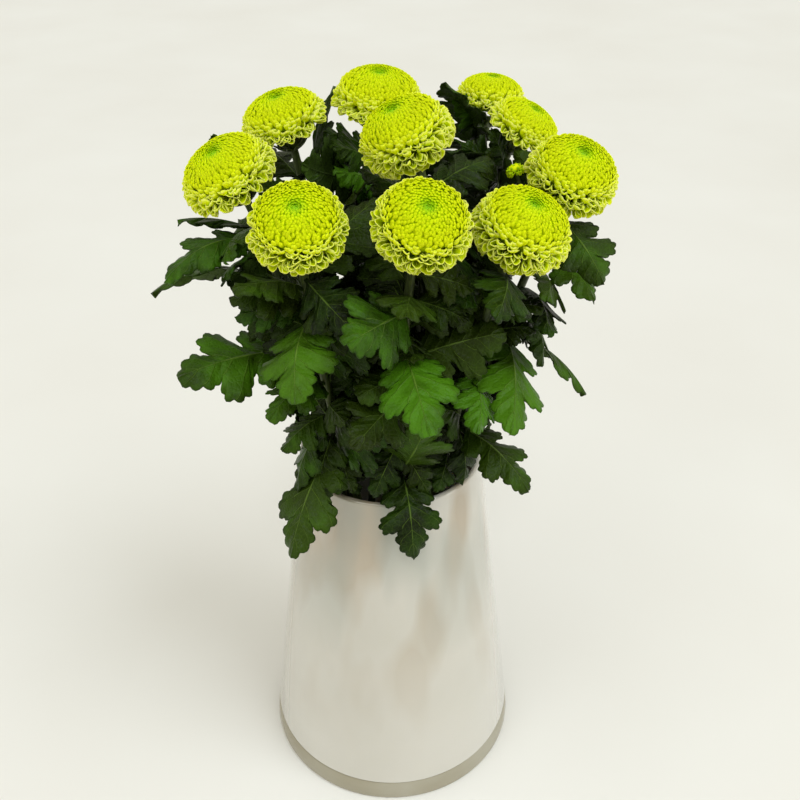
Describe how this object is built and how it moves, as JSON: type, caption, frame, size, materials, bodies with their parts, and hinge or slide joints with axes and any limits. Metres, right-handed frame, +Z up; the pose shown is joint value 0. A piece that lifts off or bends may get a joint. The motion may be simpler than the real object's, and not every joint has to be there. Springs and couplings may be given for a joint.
{
  "type": "vase of pompon chrysanthemums",
  "caption": "Bouquet of yellow-green pompon chrysanthemums with lobed leaves, standing in water in a tapered white glass vase on a clear glass foot.",
  "frame": {"origin": "centre of the vase foot's underside, on the surface it stands on", "axes": "+Z up, -Y towards the bouquet's front, +X to the right seen from the front"},
  "size_m": [0.2674, 0.2477, 0.4776],
  "materials": {
    "clear_glass": "clear glass, slightly grey-green, polished",
    "white_glass": "opaque white glass, glossy",
    "water": "stands in for clear still water",
    "leaf_green": "stands in for living leaf and stem: dark green, slightly waxy, with pale veins",
    "petal_yellow_green": "stands in for living petal: bright yellow-green, soft, darker in the hollows and greener in the middle"
  },
  "bodies": {
    "root": {"vase_foot": "clear_glass", "vase_body": "white_glass", "water": "water", "leafy_stem_1": "leaf_green", "leafy_stem_2": "leaf_green", "leafy_stem_3": "leaf_green", "leafy_stem_4": "leaf_green", "leafy_stem_5": "leaf_green", "leafy_stem_6": "leaf_green", "leafy_stem_7": "leaf_green", "leafy_stem_8": "leaf_green", "leafy_stem_9": "leaf_green", "leafy_stem_10": "leaf_green", "bloom_1": "petal_yellow_green", "bloom_2": "petal_yellow_green", "bloom_3": "petal_yellow_green", "bloom_4": "petal_yellow_green", "bloom_5": "petal_yellow_green", "bloom_6": "petal_yellow_green", "bloom_7": "petal_yellow_green", "bloom_8": "petal_yellow_green", "bloom_9": "petal_yellow_green", "bloom_10": "petal_yellow_green"}
  },
  "joints": []
}
